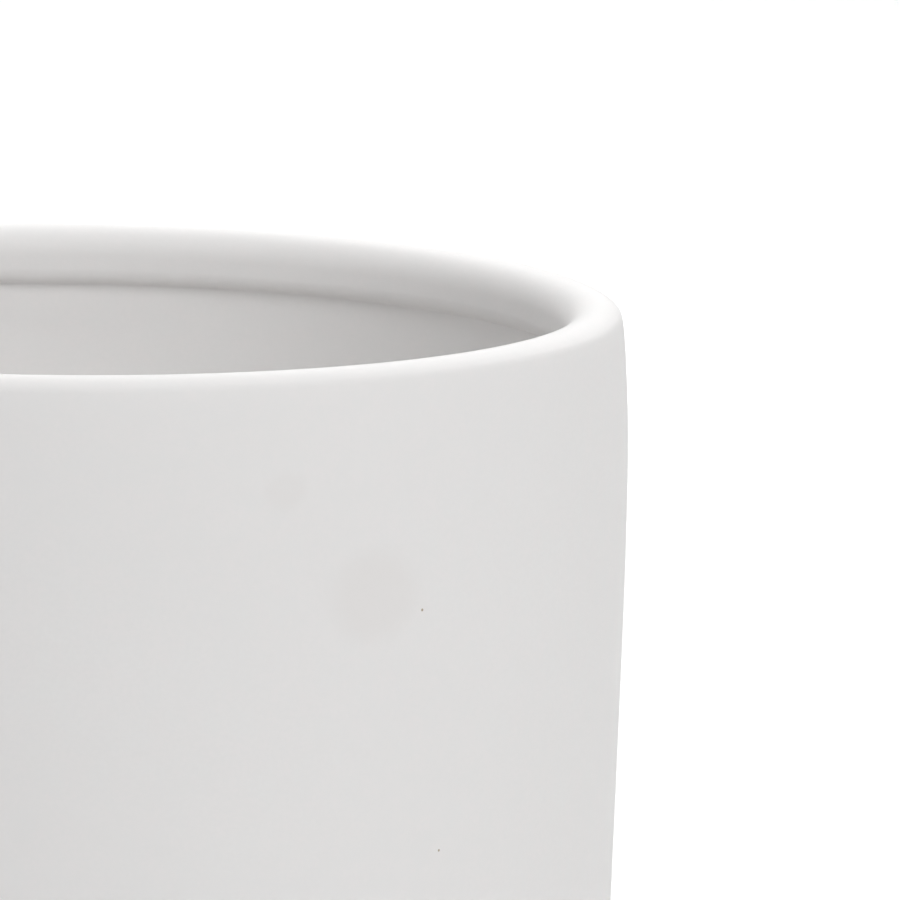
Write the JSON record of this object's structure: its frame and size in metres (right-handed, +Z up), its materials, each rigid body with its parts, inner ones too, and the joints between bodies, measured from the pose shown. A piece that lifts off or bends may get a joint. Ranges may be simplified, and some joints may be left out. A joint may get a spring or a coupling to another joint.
{
  "type": "pen holder cup",
  "caption": "Plain round ceramic pen cup, slightly drawn in at the top, with a rounded rim, a thick inward lip and small round anti-slip pads under its foot ring.",
  "frame": {"origin": "on the cup's axis, in the plane of the pads' undersides, where the cup stands on the desk", "axes": "+Z up along the cup's axis of revolution, out of the mouth; +X and +Y are midway between neighbouring pads"},
  "size_m": [0.085, 0.085, 0.1],
  "materials": {
    "white_glaze": "satin",
    "pad_rubber": "matte",
    "pad_glue": "satin"
  },
  "bodies": {
    "root": {"cup_body": "white_glaze", "foot_pad_1": "pad_rubber", "foot_pad_2": "pad_rubber", "foot_pad_3": "pad_rubber", "foot_pad_4": "pad_rubber", "pad_adhesive_1": "pad_glue", "pad_adhesive_2": "pad_glue", "pad_adhesive_3": "pad_glue", "pad_adhesive_4": "pad_glue"}
  },
  "joints": []
}
